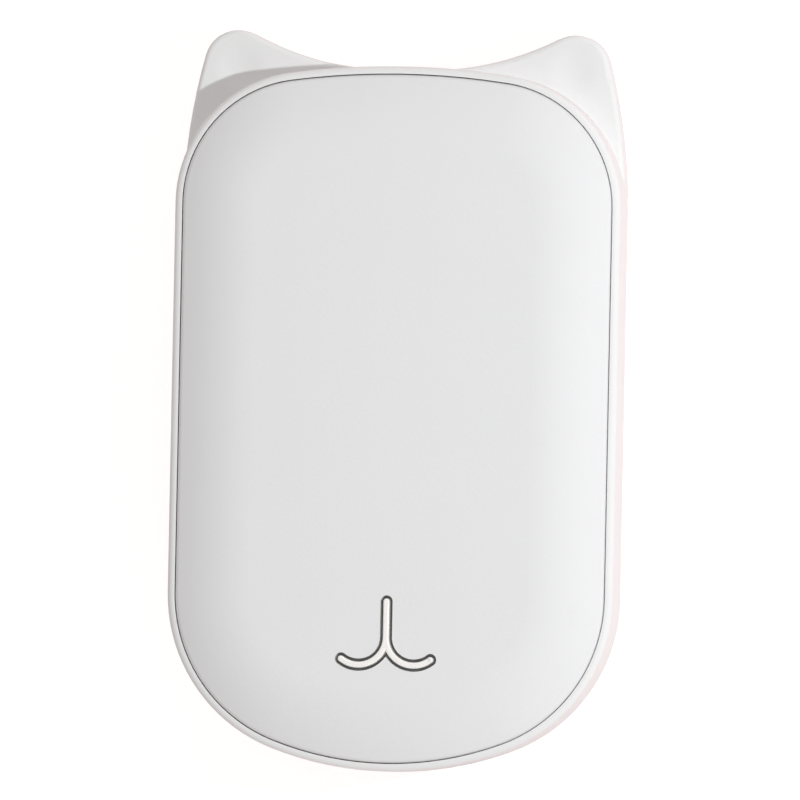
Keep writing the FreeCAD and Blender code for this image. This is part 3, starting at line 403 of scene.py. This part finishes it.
@dataclass(frozen=True, kw_only=True)
class Rubbed(Finish):
    """A surface rubbed smooth and paler round one spot by use.

    Attributes:
        bare: sRGB colour of the rubbed spot.
        polish: Share of the roughness that is left in the middle of the spot.
        spot_mm: Middle of the spot in the frame.
        reach_mm: How far the spot reaches along each axis.
    """

    bare: str
    polish: float = 0.6
    spot_mm: tuple[float, float, float] = (0.0, 0.0, 0.0)
    reach_mm: tuple[float, float, float] = (1.0, 1.0, 1.0)

    def wear(self, tree: bpy.types.NodeTree, place: bpy.types.NodeSocket) -> bpy.types.NodeSocket:
        """Measures the wear.

        Args:
            tree: Node tree of the material.
            place: Position in the frame, in metres.

        Returns:
            Socket that is 1 in the middle of the spot and 0 outside it.
        """
        spot = add_node(tree, "ShaderNodeVectorMath", {
            0: place, 1: tuple(at * MM for at in self.spot_mm)}, operation="SUBTRACT")
        share = add_node(tree, "ShaderNodeVectorMath", {
            0: spot.outputs["Vector"], 1: tuple(reach * MM for reach in self.reach_mm)},
            operation="DIVIDE")
        far = add_node(tree, "ShaderNodeVectorMath", {0: share.outputs["Vector"]}, operation="LENGTH")
        worn = add_node(tree, "ShaderNodeMapRange", {
            "Value": far.outputs["Value"], "From Min": 1.0, "From Max": 0.0},
            interpolation_type="SMOOTHSTEP")
        return worn.outputs["Result"]

    def colour(self, tree: bpy.types.NodeTree, place: bpy.types.NodeSocket) -> bpy.types.NodeSocket:
        """Pales the rubbed spot.

        Args:
            tree: Node tree of the material.
            place: Position in the frame, in metres.

        Returns:
            Colour socket.
        """
        mixed = add_node(tree, "ShaderNodeMix", {
            "Factor": self.wear(tree, place), "A": super().colour(tree, place),
            "B": linear(self.bare)}, data_type="RGBA")
        return mixed.outputs["Result"]

    def gloss(self, tree: bpy.types.NodeTree, place: bpy.types.NodeSocket) -> bpy.types.NodeSocket:
        """Smooths the rubbed spot.

        Args:
            tree: Node tree of the material.
            place: Position in the frame, in metres.

        Returns:
            Roughness socket.
        """
        left = add_node(tree, "ShaderNodeMapRange", {
            "Value": self.wear(tree, place), "To Min": 1.0, "To Max": self.polish})
        smoothed = add_node(tree, "ShaderNodeMath", {
            0: super().gloss(tree, place), 1: left.outputs["Result"]}, operation="MULTIPLY")
        return smoothed.outputs["Value"]


@dataclass(frozen=True, kw_only=True)
class Tracked(Finish):
    """A sheet with etched tracks side by side, such as a heating film or a printed board.

    Attributes:
        track: sRGB colour of the tracks.
        pitch_mm: Distance from one track to the next.
        wander: How far the tracks leave a straight line.
        wander_scale: How often they leave it.
        edge: Heights of the wave between which a track's edge lies.
    """

    track: str
    pitch_mm: float
    wander: float = 0.0
    wander_scale: float = 0.4
    edge: tuple[float, float] = (0.45, 0.55)

    def colour(self, tree: bpy.types.NodeTree, place: bpy.types.NodeSocket) -> bpy.types.NodeSocket:
        """Draws the tracks on the sheet.

        Args:
            tree: Node tree of the material.
            place: Position in the frame, in metres.

        Returns:
            Colour socket.
        """
        lines = add_node(tree, "ShaderNodeTexWave", {
            "Vector": place, "Scale": per_metre(self.pitch_mm) * WAVE_PERIOD,
            "Distortion": self.wander, "Detail": WANDER_LAYERS, "Detail Scale": self.wander_scale},
            wave_type="BANDS", bands_direction="X")
        foot, top = self.edge
        sharp = add_node(tree, "ShaderNodeMapRange", {
            "Value": lines.outputs["Fac"], "From Min": foot, "From Max": top})
        mixed = add_node(tree, "ShaderNodeMix", {
            "Factor": sharp.outputs["Result"], "A": super().colour(tree, place),
            "B": linear(self.track)}, data_type="RGBA")
        return mixed.outputs["Result"]


# Moulded ABS: a soft white whose mould grain spreads the highlights into a satin sheen. The grain of
# about 0.1 mm is drawn coarser and higher, so that it shows
COVER = Finish(
    "white_abs_satin", "#EEEEEF", "#ECECED", cloud_mm=18.0, roughness=(0.7, 0.78), grain_mm=0.6,
    height_um=30.0, ior=1.54)
# The frame is a little whiter than the covers and its mould grain is finer, drawn coarser here too. A
# pink reflection of the surroundings is painted on its faces that look sideways
FRAME = PaintedSideReflectionAbs(
    "white_abs_satin_painted_side_reflection", "#F1F1F1", "#EFEFEF", cloud_mm=14.0, roughness=(0.72, 0.8),
    grain_mm=0.5, height_um=20.0, ior=1.54)
# Opal acrylic: milky, a little glossy, brighter than the cover
GUIDE = OpalAcrylic(
    "opal_acrylic", "#FBF8F4", "#F8F5F1", cloud_mm=3.0, roughness=(0.2, 0.3), grain_mm=0.3,
    height_um=1.0, ior=1.49)
# The button is moulded in the same resin as the frame and shines where fingers rub it. Its pink tone
# copies the painted pink reflection on the frame's sides
BUTTON = Rubbed(
    "white_abs_button", "#F2ECED", "#EFE9EA", cloud_mm=2.5, roughness=(0.36, 0.46), grain_mm=0.3,
    height_um=1.2, ior=1.54, bare="#F4F1F1")
# Deep-drawn stainless steel: fine lines along the draw, a cool even shine
SOCKET_STEEL = Finish(
    "stainless_steel_drawn", "#CBCDCF", "#B9BCBF", cloud_mm=2.0, roughness=(0.2, 0.34),
    grain_mm=0.15, height_um=1.5, relief=Relief.BRUSHED, metallic=1.0)
# Glass-filled polymer: near black, with a dull moulded skin
INSULATOR = Finish(
    "glass_filled_polymer_black", "#1B1B1D", "#252527", cloud_mm=1.0, roughness=(0.45, 0.6),
    grain_mm=0.12, height_um=2.0, ior=1.6)
# Gold flash over nickel: warm and bright, worn paler where a plug slides
CONTACT_GOLD = Rubbed(
    "gold_flash_on_nickel", "#E3B65C", "#DDB268", cloud_mm=0.8, roughness=(0.2, 0.32),
    grain_mm=0.1, height_um=0.6, relief=Relief.BRUSHED, metallic=1.0, bare="#D9C79A")
# Glass-epoxy laminate under green solder mask: the tracks show paler through the mask
LAMINATE = Tracked(
    "glass_epoxy_green_mask", "#1E5A3A", "#1A5033", cloud_mm=4.0, roughness=(0.3, 0.42),
    grain_mm=0.3, height_um=3.0, ior=1.55, track="#2F7A50", pitch_mm=1.3, wander=3.0)
# Moulded epoxy packages: charcoal black and finely pitted, with tinned leads beside the board
CHIP = Banded(
    "epoxy_package", "#242426", "#2C2C2E", cloud_mm=1.5, roughness=(0.55, 0.7), grain_mm=0.12,
    height_um=3.0, axis=Axis.Z, band_mm=0.3)
# Sintered ferrite: dark grey, dry and granular
FERRITE = Finish(
    "sintered_ferrite", "#3A3B3E", "#46474A", cloud_mm=1.2, roughness=(0.65, 0.8), grain_mm=0.15,
    height_um=6.0)
# Fired ceramic: dull tan between bright tinned ends
CAPACITOR = Banded(
    "fired_ceramic_tan", "#B8996A", "#AE8F61", cloud_mm=0.8, roughness=(0.4, 0.5), grain_mm=0.1,
    height_um=1.0, band_mm=0.45)
# Fired ceramic coated black: a darker, smoother body between bright tinned ends
RESISTOR = Banded(
    "fired_ceramic_black", "#202124", "#2A2B2E", cloud_mm=0.6, roughness=(0.35, 0.5), grain_mm=0.1,
    height_um=1.0, band_mm=0.35)
# Cast silicone over phosphor: a pale yellow lamp
LAMP = Finish(
    "phosphor_silicone", "#F1E9B8", "#EFE2A0", cloud_mm=0.6, roughness=(0.25, 0.35), grain_mm=0.1,
    height_um=1.0, ior=1.41)
# Aluminium laminate pouch: soft silver with shallow creases
POUCH = Finish(
    "aluminium_laminate_pouch", "#C9CCD0", "#BEC2C6", cloud_mm=6.0, roughness=(0.28, 0.4),
    relief=Relief.CREASED, metallic=0.9)
# Adhesive on a tissue carrier: off-white and fibrous
TAPE = Finish(
    "tissue_tape", "#E7E1CF", "#DED6C0", cloud_mm=2.0, roughness=(0.5, 0.65), grain_mm=0.3,
    height_um=4.0)
# Rolled nickel strip: warm grey with rolling lines
NICKEL = Finish(
    "rolled_nickel", "#C8C2B4", "#B8B2A4", cloud_mm=1.5, roughness=(0.25, 0.38), grain_mm=0.12,
    height_um=1.5, relief=Relief.BRUSHED, metallic=1.0)
# Extruded PVC sheath: a strong red with a waxy sheen
SHEATH_RED = Finish(
    "pvc_sheath_red", "#B4241F", "#A31D19", cloud_mm=2.0, roughness=(0.38, 0.5), grain_mm=0.25,
    height_um=2.0, ior=1.53)
# The same sheath in black: its waxy sheen shows as a grey line along the lead
SHEATH_BLACK = Finish(
    "pvc_sheath_black", "#1D1D1F", "#28282A", cloud_mm=2.0, roughness=(0.38, 0.5), grain_mm=0.25,
    height_um=2.0, ior=1.53)
# Extruded silicone sheath: chalky off-white, duller than PVC
SHEATH_WHITE = Finish(
    "silicone_sheath_white", "#E9E7E2", "#DFDCD6", cloud_mm=2.0, roughness=(0.45, 0.6),
    grain_mm=0.25, height_um=2.0, ior=1.41)
# Rolled aluminium sheet: pale, with fine lines along the rolling
PLATE = Finish(
    "rolled_aluminium", "#D6D8DA", "#C8CACD", cloud_mm=5.0, roughness=(0.3, 0.42), grain_mm=0.2,
    height_um=2.5, relief=Relief.BRUSHED, metallic=1.0)
# Polyimide film: amber and glossy over etched heating tracks
POLYIMIDE = Tracked(
    "polyimide_film", "#C98A2B", "#C08124", cloud_mm=6.0, roughness=(0.22, 0.3), grain_mm=0.6,
    height_um=1.0, ior=1.7, track="#7A4217", pitch_mm=2.4)
# Polyurethane foam: grey and matt with open cells
FOAM = Finish(
    "polyurethane_foam", "#74777A", "#686B6E", cloud_mm=3.0, roughness=(0.85, 0.95),
    height_um=120.0, relief=Relief.CELLED)
# Dipped epoxy bead: greenish black and glossy
SENSOR = Finish(
    "dipped_epoxy", "#1F2A24", "#26332C", cloud_mm=0.8, roughness=(0.18, 0.3), grain_mm=0.3,
    height_um=3.0, ior=1.55)
# Zinc-plated steel screws: bluish bright metal
SCREW = Finish(
    "zinc_plated_steel", "#BFC3C8", "#AEB2B8", cloud_mm=0.8, roughness=(0.25, 0.38), grain_mm=0.15,
    height_um=1.0, metallic=1.0)

# Underside of the main board, to which the switch and the charging chip are soldered
BOARD_BOTTOM_MM = 13.6
# Longer than any package, so that only the band beside the board shows on it
PAST_PACKAGE_MM = 30.0


def in_row(finish: Banded, start_mm: float, pitch_mm: float, body_mm: float) -> Banded:
    """Sets the bands of a finish for a row of equal bodies.

    Args:
        finish: Banded finish.
        start_mm: First end of the row.
        pitch_mm: Distance from one body to the next.
        body_mm: Length of one body.

    Returns:
        The finish for that row.
    """
    return replace(finish, start_mm=start_mm, pitch_mm=pitch_mm, body_mm=body_mm)


def soldered_below(finish: Banded, board_mm: float) -> Banded:
    """Keeps only the tinned leads at the foot of a package that stands on a board."""
    return in_row(finish, board_mm, PAST_PACKAGE_MM, PAST_PACKAGE_MM)


def soldered_above(finish: Banded, board_mm: float) -> Banded:
    """Keeps only the tinned leads at the head of a package that hangs under a board."""
    return in_row(finish, board_mm - PAST_PACKAGE_MM, PAST_PACKAGE_MM, PAST_PACKAGE_MM)


class SubAssembly:
    """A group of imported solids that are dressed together."""

    def dress(self, finish: Finish, *nodes: str) -> None:
        """Gives one finish to some of the solids.

        Args:
            finish: Finish to give.
            *nodes: Names of the solids.
        """
        material = finish.material()
        for node in nodes:
            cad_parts[node].material_slots[0].material = material
            LOG.info("%s: %s", node, finish.name)

    def build(self) -> None:
        """Dresses the solids of the group."""
        raise NotImplementedError


@dataclass
class Housing(SubAssembly):
    """Front and rear covers, the eared frame between them and the mouth inlay.

    Attributes:
        ceiling_mm: Underside of the front cover, where the flange of the inlay rests.
        print_and_shade_margin_mm: How far the dark print of the inlay, which is also painted shade in
            its slots, climbs above the flange.
    """

    ceiling_mm: float = 21.8
    print_and_shade_margin_mm: float = 0.1

    def build(self) -> None:
        """Dresses the outside of the case and the screws that hold it."""
        inlay = replace(GUIDE, print_and_shade_top_mm=self.ceiling_mm + self.print_and_shade_margin_mm)
        self.dress(COVER, "front_shell", "rear_shell")
        self.dress(FRAME, "mid_frame")
        self.dress(inlay, "mouth_light_guide")
        self.dress(SCREW, "shell_screws")


@dataclass
class Controls(SubAssembly):
    """Push button with its switch.

    Attributes:
        button_mm: Middle of the button's face.
        thumb_mm: Reach of the spot that fingers rub.
        board_bottom_mm: Underside of the board, to which the switch is soldered.
    """

    button_mm: tuple[float, float, float] = (8.5, -52.9, 12.0)
    thumb_mm: tuple[float, float, float] = (3.4, 2.0, 1.8)
    board_bottom_mm: float = BOARD_BOTTOM_MM

    def build(self) -> None:
        """Dresses the button and the switch."""
        self.dress(replace(BUTTON, spot_mm=self.button_mm, reach_mm=self.thumb_mm), "power_button")
        self.dress(INSULATOR, "switch_plunger")
        self.dress(soldered_above(CHIP, self.board_bottom_mm), "switch_body")


@dataclass
class ChargeSocket(SubAssembly):
    """Charging socket in the lower end.

    Attributes:
        wipe_mm: Middle of the stretch of the contacts that a plug wipes.
        stroke_mm: Reach of that stretch.
    """

    wipe_mm: tuple[float, float, float] = (-8.5, -48.8, 12.0)
    stroke_mm: tuple[float, float, float] = (9.0, 1.1, 3.0)

    def build(self) -> None:
        """Dresses the socket."""
        self.dress(SOCKET_STEEL, "usb_c_shell")
        self.dress(INSULATOR, "usb_c_tongue")
        self.dress(replace(CONTACT_GOLD, spot_mm=self.wipe_mm, reach_mm=self.stroke_mm),
                   "usb_c_contacts")


@dataclass
class Electronics(SubAssembly):
    """Main board with its parts, and the protection board of the battery.

    Attributes:
        board_bottom_mm: Underside of the main board.
        board_top_mm: Upper side of the main board.
        protection_top_mm: Upper side of the protection board.
        capacitor_mm: First end, pitch and length of the capacitors along X.
        resistor_mm: First end, pitch and length of the resistors along X.
    """

    board_bottom_mm: float = BOARD_BOTTOM_MM
    board_top_mm: float = 14.8
    protection_top_mm: float = 12.2
    capacitor_mm: tuple[float, float, float] = (-8.0, 3.2, 2.0)
    resistor_mm: tuple[float, float, float] = (-8.4, 3.8, 1.6)

    def build(self) -> None:
        """Dresses the boards and what is fixed to them."""
        self.dress(LAMINATE, "main_board", "protection_board")
        self.dress(soldered_above(CHIP, self.board_bottom_mm), "charge_controller")
        self.dress(soldered_below(CHIP, self.board_top_mm), "heater_driver")
        self.dress(soldered_below(CHIP, self.protection_top_mm), "protection_transistors")
        self.dress(FERRITE, "power_inductor")
        self.dress(in_row(CAPACITOR, *self.capacitor_mm), "board_capacitors")
        self.dress(in_row(RESISTOR, *self.resistor_mm), "board_resistors")
        self.dress(LAMP, "status_led")
        self.dress(SCREW, "board_screws")


@dataclass
class Battery(SubAssembly):
    """Two flat cells with their tape, tabs and leads.

    Attributes:
        crease_mm: Width of a crease in the foil of the cells.
        crease_um: Height of a crease in micrometres.
    """

    crease_mm: float = 3.0
    crease_um: float = 60.0

    def build(self) -> None:
        """Dresses the cells and their leads."""
        self.dress(replace(POUCH, grain_mm=self.crease_mm, height_um=self.crease_um),
                   "front_cell", "rear_cell")
        self.dress(TAPE, "cell_tape")
        self.dress(NICKEL, "cell_tabs")
        self.dress(SHEATH_RED, "battery_lead_positive")
        self.dress(SHEATH_BLACK, "battery_lead_negative")


@dataclass
class Heaters(SubAssembly):
    """Heating stacks behind both covers, with the temperature sensor.

    Attributes:
        foam_cell_mm: Width of a cell of the foam.
    """

    foam_cell_mm: float = 0.6

    def build(self) -> None:
        """Dresses plates, films, foam, leads and sensor."""
        self.dress(PLATE, "front_heat_plate", "rear_heat_plate")
        self.dress(POLYIMIDE, "front_heater_film", "rear_heater_film")
        self.dress(replace(FOAM, grain_mm=self.foam_cell_mm), "front_foam_pad", "rear_foam_pad")
        self.dress(SHEATH_WHITE, "front_heater_leads", "rear_heater_leads")
        self.dress(SENSOR, "thermistor")
        self.dress(SHEATH_BLACK, "thermistor_leads")


@dataclass
class Studio:
    """Pale floor, a soft light all round that is stronger at both ends, and a small lamp on the right.

    Attributes:
        floor_side: Side of the floor in metres.
        floor_gap_mm: How far the floor lies below the rear cover, so that no two faces coincide.
        floor_tone: sRGB colour of the floor paper, whose warm light shows on the sides of the case.
        floor_roughness: Roughness of the paper.
        floor_lift: Light that the floor adds for the eye alone, so that it reads as white.
        sky_tint: sRGB colour of the soft light.
        sky: Strength of the soft light.
        sky_ends: Strength that the soft light gains beyond both ends of the case.
        sky_seen: Strength of the sky for the eye alone, which is white.
        lamp_tint: sRGB colour of the lamp.
        lamp: Light of the lamp at the object, in watts per square metre.
        lamp_distance: From the middle of the front cover to the lamp, in metres.
        lamp_width: Width of the lamp as an angle in degrees, seen from the object.
        lamp_towards: Direction from the object to the lamp.
        cover_mm: Height of the front cover above the floor.
    """

    floor_side: float = 8.0
    floor_gap_mm: float = 0.05
    floor_tone: str = "#EAE0DE"
    floor_roughness: float = 0.9
    floor_lift: float = 0.64
    sky_tint: str = "#FFFCFA"
    sky: float = 0.35
    sky_ends: float = 0.7
    sky_seen: float = 1.0
    lamp_tint: str = "#F9FDFF"
    lamp: float = 1.61
    lamp_distance: float = 0.55
    lamp_width: float = 2.5
    lamp_towards: tuple[float, float, float] = (0.66, 0.045, 0.75)
    cover_mm: float = 24.0

    def build(self) -> None:
        """Makes the floor, the sky and the lamp."""
        self.build_floor()
        self.build_sky()
        self.build_lamp()

    def seen(self, tree: bpy.types.NodeTree) -> bpy.types.NodeSocket:
        """Marks the rays that show the background: straight to the eye, mirrored or through glass.

        Args:
            tree: Node tree of the floor or the sky.

        Returns:
            Socket that is 1 for such a ray and 0 for one that only carries light.
        """
        ray = add_node(tree, "ShaderNodeLightPath")
        mirrored = add_node(tree, "ShaderNodeMath", {
            0: ray.outputs["Is Camera Ray"], 1: ray.outputs["Is Glossy Ray"]}, operation="MAXIMUM")
        through = add_node(tree, "ShaderNodeMath", {
            0: mirrored.outputs["Value"], 1: ray.outputs["Is Transmission Ray"]}, operation="MAXIMUM")
        return through.outputs["Value"]

    def build_floor(self) -> None:
        """Makes a matt paper floor that keeps the shadow of the object."""
        half = self.floor_side / 2
        mesh = bpy.data.meshes.new("floor")
        mesh.from_pydata(
            [(-half, -half, 0), (half, -half, 0), (half, half, 0), (-half, half, 0)], [], [(0, 1, 2, 3)])
        floor = bpy.data.objects.new("floor", mesh)
        floor.location.z = -self.floor_gap_mm * MM
        bpy.context.scene.collection.objects.link(floor)
        material = bpy.data.materials.new("white_paper")
        material.use_nodes = True
        tree = material.node_tree
        shader = tree.nodes["Principled BSDF"]
        shader.inputs["Base Color"].default_value = linear(self.floor_tone)
        shader.inputs["Roughness"].default_value = self.floor_roughness
        shader.inputs["Emission Color"].default_value = linear(WHITE)
        lift = add_node(tree, "ShaderNodeMath", {0: self.seen(tree), 1: self.floor_lift},
                        operation="MULTIPLY")
        tree.links.new(lift.outputs["Value"], shader.inputs["Emission Strength"])
        mesh.materials.append(material)

    def build_sky(self) -> None:
        """Makes a soft light that is strongest at both ends and reads as white behind the object."""
        world = bpy.data.worlds.new("studio")
        world.use_nodes = True
        bpy.context.scene.world = world
        tree = world.node_tree
        towards = add_node(tree, "ShaderNodeTexCoord").outputs["Generated"]
        parts = add_node(tree, "ShaderNodeSeparateXYZ", {"Vector": towards})
        lengthwise = parts.outputs[Axis.Y.value]
        ends = add_node(tree, "ShaderNodeMath", {0: lengthwise, 1: lengthwise}, operation="MULTIPLY")
        soft = add_node(tree, "ShaderNodeMath", {
            0: ends.outputs["Value"], 1: self.sky_ends, 2: self.sky}, operation="MULTIPLY_ADD")
        seen = self.seen(tree)
        strength = add_node(tree, "ShaderNodeMix", {
            "Factor": seen, "A": soft.outputs["Value"], "B": self.sky_seen}, data_type="FLOAT")
        tint = add_node(tree, "ShaderNodeMix", {
            "Factor": seen, "A": linear(self.sky_tint), "B": linear(WHITE)}, data_type="RGBA")
        sky = tree.nodes["Background"]
        tree.links.new(tint.outputs["Result"], sky.inputs["Color"])
        tree.links.new(strength.outputs["Result"], sky.inputs["Strength"])

    def build_lamp(self) -> None:
        """Makes the lamp that shades the covers from right to left."""
        data = bpy.data.lights.new("key", "POINT")
        data.color = linear(self.lamp_tint)[:3]
        # The lamp's watts spread over a sphere round it
        data.energy = self.lamp * 4 * math.pi * self.lamp_distance ** 2
        data.shadow_soft_size = self.lamp_distance * math.tan(math.radians(self.lamp_width / 2))
        lamp = bpy.data.objects.new("key", data)
        lamp.location = Vector(self.lamp_towards).normalized() * self.lamp_distance
        lamp.location.z += self.cover_mm * MM
        bpy.context.scene.collection.objects.link(lamp)


@dataclass
class Viewpoint:
    """Camera in front of the case, a little to its right and below it.

    Attributes:
        distance: From the camera to the lip of the frame, in metres.
        pixels_per_mm: Scale of the picture at the lip.
        picture: Side of the picture in pixels.
        yaw: Angle of the camera towards +X in degrees.
        pitch: Angle of the camera towards -Y in degrees.
        roll: Lean of the case to the right in the picture, in degrees.
        lip_mm: Height of the lip above the floor.
        aim_mm: Middle of the picture from the middle of the cover, right and up.
        sensor_mm: Width of the camera's sensor.
        near: Nearest distance that the camera shows, in metres.
        far: Farthest distance that it shows, in metres.
    """

    distance: float = 4.0
    pixels_per_mm: float = 6.632
    picture: int = 800
    yaw: float = 7.2
    pitch: float = 1.0
    roll: float = 1.136
    lip_mm: float = 20.8
    aim_mm: tuple[float, float] = (1.084, 2.818)
    sensor_mm: float = 36.0
    near: float = 0.05
    far: float = 20.0

    def build(self) -> None:
        """Makes the camera."""
        back = Vector((math.tan(math.radians(self.yaw)), -math.tan(math.radians(self.pitch)), 1.0))
        back.normalize()
        level_right = Vector((0, 1, 0)).cross(back).normalized()
        level_up = back.cross(level_right)
        lean = math.radians(self.roll)
        right = level_right * math.cos(lean) + level_up * math.sin(lean)
        up = level_up * math.cos(lean) - level_right * math.sin(lean)
        aim = Vector((0, 0, self.lip_mm * MM))
        aim += right * self.aim_mm[0] * MM + up * self.aim_mm[1] * MM
        data = bpy.data.cameras.new("camera")
        data.sensor_width = self.sensor_mm
        field = self.picture / self.pixels_per_mm * MM
        data.lens = self.sensor_mm * self.distance / field
        data.clip_start = self.near
        data.clip_end = self.far
        camera = bpy.data.objects.new("camera", data)
        turn = Matrix((right, up, back)).transposed().to_4x4()
        camera.matrix_world = Matrix.Translation(aim + back * self.distance) @ turn
        bpy.context.scene.collection.objects.link(camera)
        bpy.context.scene.camera = camera


def main() -> None:
    """Sets up the camera, dresses the solids in order, then sets the stage and the light."""
    logging.basicConfig(level=logging.INFO, format="%(message)s")
    Viewpoint().build()
    for assembly in (Housing(), Controls(), ChargeSocket(), Electronics(), Battery(), Heaters()):
        assembly.build()
        LOG.info("%s done", type(assembly).__name__)
    Studio().build()
    bpy.context.scene.view_settings.view_transform = "Standard"


if __name__ == "__main__":
    main()
